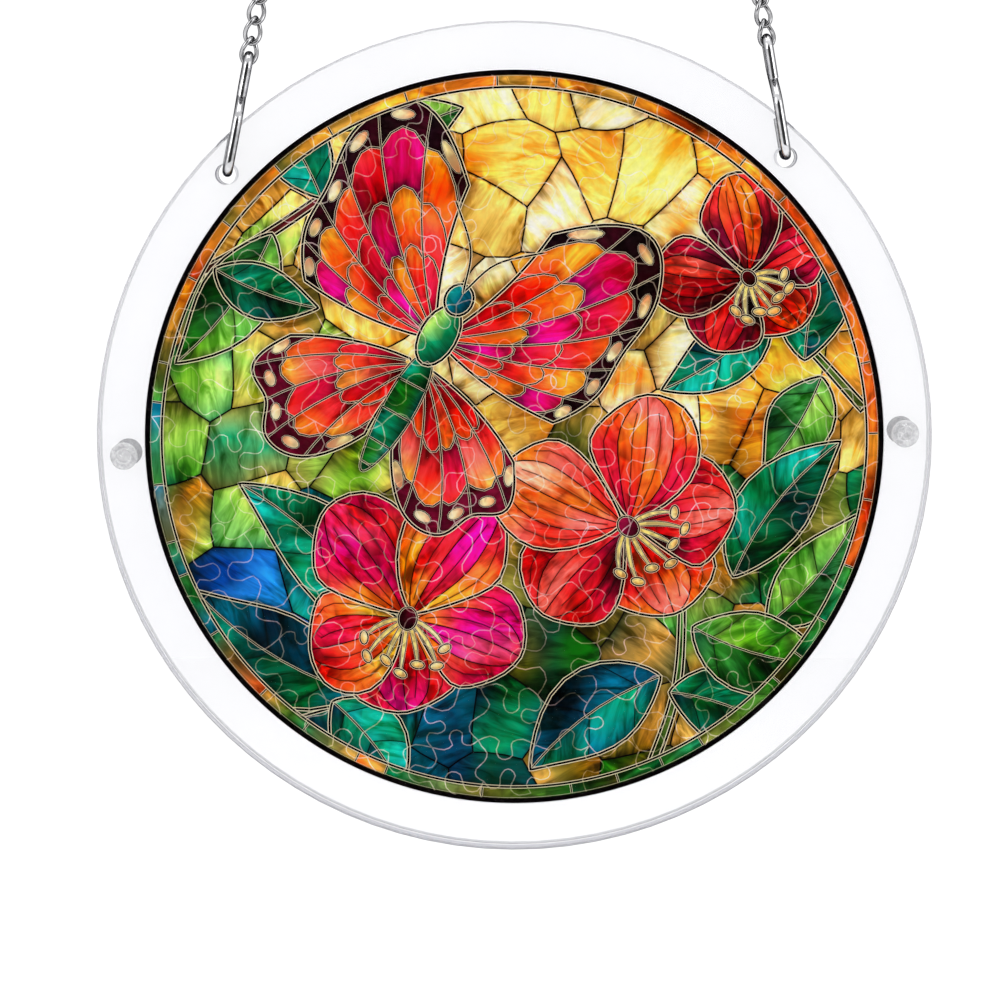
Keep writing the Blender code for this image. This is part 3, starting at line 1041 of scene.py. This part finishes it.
def rivet_material():
    """Clear moulded plastic, cloudy inside, and a plain pale grey at its rim: painted light on its
    sides, picked by which way each face turns.
    """
    nodes = Nodes("rivet_plastic")
    cloud = nodes.noise(900.0, 3.0, 0.6, 0.8)
    speck = nodes.noise(2600.0, 2.0, 0.5)
    inner = nodes.mix(nodes.ranged(cloud, 0.38, 0.62), (0.52, 0.52, 0.53), (0.82, 0.82, 0.83))
    inner = nodes.mix(nodes.ranged(speck, 0.62, 0.70, 0.0, 0.8), inner, (1.0, 1.0, 1.0))
    # Painted light: faces turned away from the disc's axis get a plain pale grey, lifting the shade on
    # the rivet's sides.
    faced = nodes.ranged(flatness(nodes), 0.45, 0.95)
    color = nodes.mix(faced, (0.86, 0.86, 0.87), inner)
    nodes.set(Base_Color=color, IOR=1.45, Transmission_Weight=0.55)
    nodes.set(Roughness=nodes.ranged(cloud, 0.3, 0.7, 0.10, 0.28))
    nodes.bump(cloud, 0.35, 0.0003)
    return nodes.owner


def steel_material(name, tone, dark):
    """Polished wire with fine scratches and dull patches, and painted shade: darker where it turns away
    from view.
    """
    nodes = Nodes(name)
    patch = nodes.noise(300.0, 4.0, 0.6)
    fine = nodes.noise(2500.0, 2.0, 0.6)
    facing = nodes.add("LayerWeight", {"Blend": 0.5}).outputs["Facing"]
    low, high, edge = ((value, value, value * 1.02) for value in (tone * 0.6, tone, dark))
    color = nodes.mix(nodes.ranged(patch, 0.35, 0.65), low, high)
    # Painted shade: the colour falls to the dark edge tone where the wire turns away from view.
    color = nodes.mix(nodes.ranged(facing, 0.2, 0.7), color, edge)
    nodes.set(Base_Color=color, Metallic=1.0, Specular_Tint=(0.25, 0.25, 0.27))
    nodes.set(Roughness=nodes.ranged(patch, 0.3, 0.7, 0.06, 0.18))
    nodes.bump(fine, 0.08, 0.00005)
    return nodes.owner


def stage_material():
    """The floor's matt white, faintly uneven."""
    nodes = Nodes("studio_white")
    shade = nodes.noise(3.0, 2.0)
    color = nodes.mix(shade, (0.84, 0.84, 0.845), (0.86, 0.86, 0.86))
    nodes.set(Base_Color=color, Roughness=0.9)
    return nodes.owner


def new_object(name, mesh, material):
    """An object in the scene, with one material."""
    mesh.materials.append(material)
    obj = bpy.data.objects.new(name, mesh)
    bpy.context.scene.collection.objects.link(obj)
    return obj


def build_picture():
    """The jigsaw's two printed faces and its edge, in place of its plain disc."""
    flat = picture_faces(*design())
    finish, dark = print_material(), edge_material()
    half = (PICTURE_HIGH.y - CENTRE.y) / MM
    edge = band_mesh("jigsaw_edge", [((0, 0), PICTURE_RADIUS)], -half, half)
    pieces = [
        new_object("jigsaw_front", sheet_mesh("jigsaw_front", flat, -1), finish),
        new_object("jigsaw_back", sheet_mesh("jigsaw_back", flat, 1), finish),
        new_object("jigsaw_edge", edge, dark),
    ]
    for obj in pieces:
        obj.location = CENTRE
        obj.rotation_euler.y = -DISC_TILT
        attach(obj, "root")
        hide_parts("jigsaw_picture")


def build_sawn_edges():
    """The matt sawn edges and holes of the clear pieces, just under their polished surface."""
    finish = sawn_material()
    for node in ("front_plate", "spacer_ring", "back_plate"):
        low, high = (Vector(corner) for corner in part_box(node))
        radius = (high.z - low.z) / 2 / MM
        reach = radius - HOLE_INSET
        rounds = [((0, 0), radius - SAWN_DEPTH)]
        for side in (-1, 1):
            hole = (side * reach * math.sin(HOLE_SPREAD), reach * math.cos(HOLE_SPREAD))
            rounds.append((hole, HOLE_RADIUS + SAWN_DEPTH))
        depths = [(depth - CENTRE.y) / MM for depth in (low.y, high.y)]
        mesh = band_mesh(node + "_sawn", rounds, depths[0] + SAWN_INSET, depths[1] - SAWN_INSET)
        mesh.transform(Matrix.Translation(CENTRE) @ Matrix.Rotation(-DISC_TILT, 4, "Y"))
        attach(new_object(node + "_sawn", mesh, finish), "root")


def bend(centre, radius, start, end, count=14):
    """Points (depth, height) along an arc, in degrees."""
    angles = np.radians(np.linspace(start, end, count))
    return [(centre[0] + radius * math.cos(a), centre[1] + radius * math.sin(a)) for a in angles]


def hook_points():
    """The S hook's centreline, from its back tip through the hole to its front tip."""
    top = HOOK_HEIGHT - 2 * HOOK_WIRE
    flat = HOOK_LIMB - HOOK_LOWER_BEND
    outline = [(HOOK_LIMB, HOOK_LOWER_TIP_HEIGHT)]
    outline += bend((flat, HOOK_LOWER_BEND), HOOK_LOWER_BEND, 0, -90)
    outline += bend((-flat, HOOK_LOWER_BEND), HOOK_LOWER_BEND, -90, -180)
    for part in np.linspace(0, 1, 21):
        ease = (1 - math.cos(math.pi * part)) / 2
        depth = -HOOK_LIMB + (HOOK_LIMB + HOOK_UPPER_BEND) * ease
        outline.append((depth, HOOK_CROSSING_START + HOOK_CROSSING_HEIGHT * part))
    outline += bend((0, top - HOOK_UPPER_BEND), HOOK_UPPER_BEND, 0, 180, 26)
    outline.append((-HOOK_UPPER_BEND, top - HOOK_UPPER_TIP_DROP))
    return [(0, depth, height) for depth, height in outline]


def link_points(count=56):
    """A link's centreline: a long oval, twisted about its long axis."""
    half_width, half_length = (size / 2 - LINK_WIRE for size in LINK_SIZE)
    points = []
    for around in np.linspace(0, 2 * math.pi, count, endpoint=False):
        height = half_length * math.sin(around)
        across = half_width * math.cos(around)
        turn = math.radians(LINK_TURN + LINK_TWIST * height / (2 * half_length))
        points.append((across * math.cos(turn), across * math.sin(turn), height))
    return points


def ring_points():
    """An end ring's centreline."""
    radius = RING_RADIUS - RING_WIRE
    angles = np.linspace(0, 2 * math.pi, 64, endpoint=False)
    return [(radius * math.cos(a), 0, radius * math.sin(a)) for a in angles]


def build_wire(node, points, radius, closed, turn, finish):
    """Round wire along the points, turned about Z, leaned with its chain, on its solid."""
    curve = bpy.data.curves.new(node, "CURVE")
    curve.dimensions = "3D"
    curve.bevel_depth = radius * MM
    curve.bevel_resolution = 5
    curve.use_fill_caps = True
    spline = curve.splines.new("POLY")
    spline.points.add(len(points) - 1)
    for place, point in zip(spline.points, points):
        place.co = (*(Vector(point) * MM), 1)
    spline.use_cyclic_u = closed
    draft = bpy.data.objects.new(node + "_draft", curve)
    mesh = bpy.data.meshes.new_from_object(draft)
    bpy.data.objects.remove(draft)
    side = "left" if "left" in node else "right"
    turned = Matrix.Rotation(math.radians(turn), 4, "Z")
    mesh.transform(Matrix.Rotation(chain_lean(side), 4, "Y") @ turned)
    corners = np.array([vertex.co for vertex in mesh.vertices])
    low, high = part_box(node)
    middle = Vector((corners.min(0) + corners.max(0)) / 2)
    mesh.transform(Matrix.Translation((low + high) / 2 - middle))
    mesh.shade_smooth()
    obj = new_object(node + "_wire", mesh, finish)
    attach(obj, "root")
    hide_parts(node)


def box_centre(node):
    """The middle of a node's box."""
    low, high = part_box(node)
    return (low + high) / 2


def chain_lean(side):
    """How far a chain leans, from its first link to its end ring."""
    run = box_centre("end_ring_" + side) - box_centre(f"chain_link_{side}_1")
    return math.atan2(run.x, run.z)


def build_metal():
    """Each hook, chain link and end ring in rounder wire than its solid."""
    steel = steel_material("polished_steel", 0.72, 0.08)
    chain_steel = steel_material("chain_steel", 0.50, 0.02)
    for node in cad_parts:
        if node.startswith("hook"):
            turn = HOOK_TURNS[node.removeprefix("hook_")]
            build_wire(node, hook_points(), HOOK_WIRE, False, turn, steel)
        elif node.startswith("chain_link"):
            build_wire(node, link_points(), LINK_WIRE, True, 0, chain_steel)
        elif node.startswith("end_ring"):
            build_wire(node, ring_points(), RING_WIRE, True, RING_TURN, steel)


def dress_nodes():
    """Finishes for the solids whose shape is shown as it is."""
    clear, rivet = clear_material(), rivet_material()
    finishes = {"front_plate": clear, "back_plate": clear, "spacer_ring": spacer_material(),
                "rivet_left": rivet, "rivet_right": rivet}
    for name, finish in finishes.items():
        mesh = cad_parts[name].data
        mesh.materials.clear()
        mesh.materials.append(finish)


def build_camera():
    """A camera a little above the disc's centre, square to it from side to side."""
    data = bpy.data.cameras.new("camera")
    camera = bpy.data.objects.new("camera", data)
    bpy.context.scene.collection.objects.link(camera)
    bpy.context.scene.camera = camera
    metres_per_px = PLATE_RADIUS / PLATE_RADIUS_PX
    data.angle = 2 * math.atan(PHOTO_SIZE / 2 * metres_per_px / CAMERA_DISTANCE)
    data.clip_start = 0.01
    way = Vector((0, -math.cos(CAMERA_RISE), math.sin(CAMERA_RISE)))
    camera.location = CENTRE + way * CAMERA_DISTANCE
    half = (PHOTO_SIZE - 1) / 2
    right = (half - DISC_CENTRE_PX[0]) * metres_per_px
    down = (half - DISC_CENTRE_PX[1]) * metres_per_px
    aim = CENTRE + Vector((right, 0, -down))
    camera.rotation_euler = (aim - camera.location).to_track_quat("-Z", "Y").to_euler()


def area_light(name, location, target, size, power):
    """A soft lamp that faces its target."""
    data = bpy.data.lights.new(name, "AREA")
    data.shape = "RECTANGLE"
    data.size, data.size_y = size
    data.energy = power
    light = bpy.data.objects.new(name, data)
    light.location = location
    light.rotation_euler = (Vector(target) - Vector(location)).to_track_quat("-Z", "Y").to_euler()
    bpy.context.scene.collection.objects.link(light)


def build_room():
    """An even pale room, dark only in what is mirrored of its two ends."""
    nodes = Nodes("studio", "worlds", "Background")
    way = nodes.add("SeparateXYZ", {0: nodes.add("TexCoord").outputs["Generated"]})
    dark = nodes.ranged(nodes.math("ABSOLUTE", way.outputs[1]), *MIRROR_FADE, 0.0, MIRROR_DARK)
    path = nodes.add("LightPath")
    for kind in ("Is Glossy Ray", "Is Reflection Ray"):
        dark = nodes.math("MULTIPLY", dark, path.outputs[kind])
    light = nodes.math("MULTIPLY", nodes.math("SUBTRACT", 1.0, dark), ROOM_LIGHT)
    nodes.set(Color=ROOM_TINT, Strength=light)
    bpy.context.scene.world = nodes.owner


def build_studio():
    """A pale floor, soft side lights and an even room."""
    half = FLOOR_SIZE / 2
    corners = [(-half, -half, 0), (half, -half, 0), (half, half, 0), (-half, half, 0)]
    mesh = bpy.data.meshes.new("floor")
    mesh.from_pydata(corners, [], [(0, 1, 2, 3)])
    floor = new_object("floor", mesh, stage_material())
    floor.location = (CENTRE.x, 0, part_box("front_plate")[0][2] - FLOOR_DROP)
    x, y, z = CENTRE
    area_light("key", (x - 1.0, y - 0.9, z + 0.6), (x, y, z), (0.8, 0.9), 6)
    area_light("fill", (x + 1.1, y - 0.8, z + 0.4), (x, y, z), (0.8, 0.9), 5)
    area_light("wash", (x, y + 0.1, z + 1.2), (x, y + 0.3, z - 1), (1.2, 0.8), 6)
    build_room()
    bpy.context.scene.view_settings.view_transform = "Standard"


build_camera()
build_studio()
build_picture()
build_sawn_edges()
build_metal()
dress_nodes()
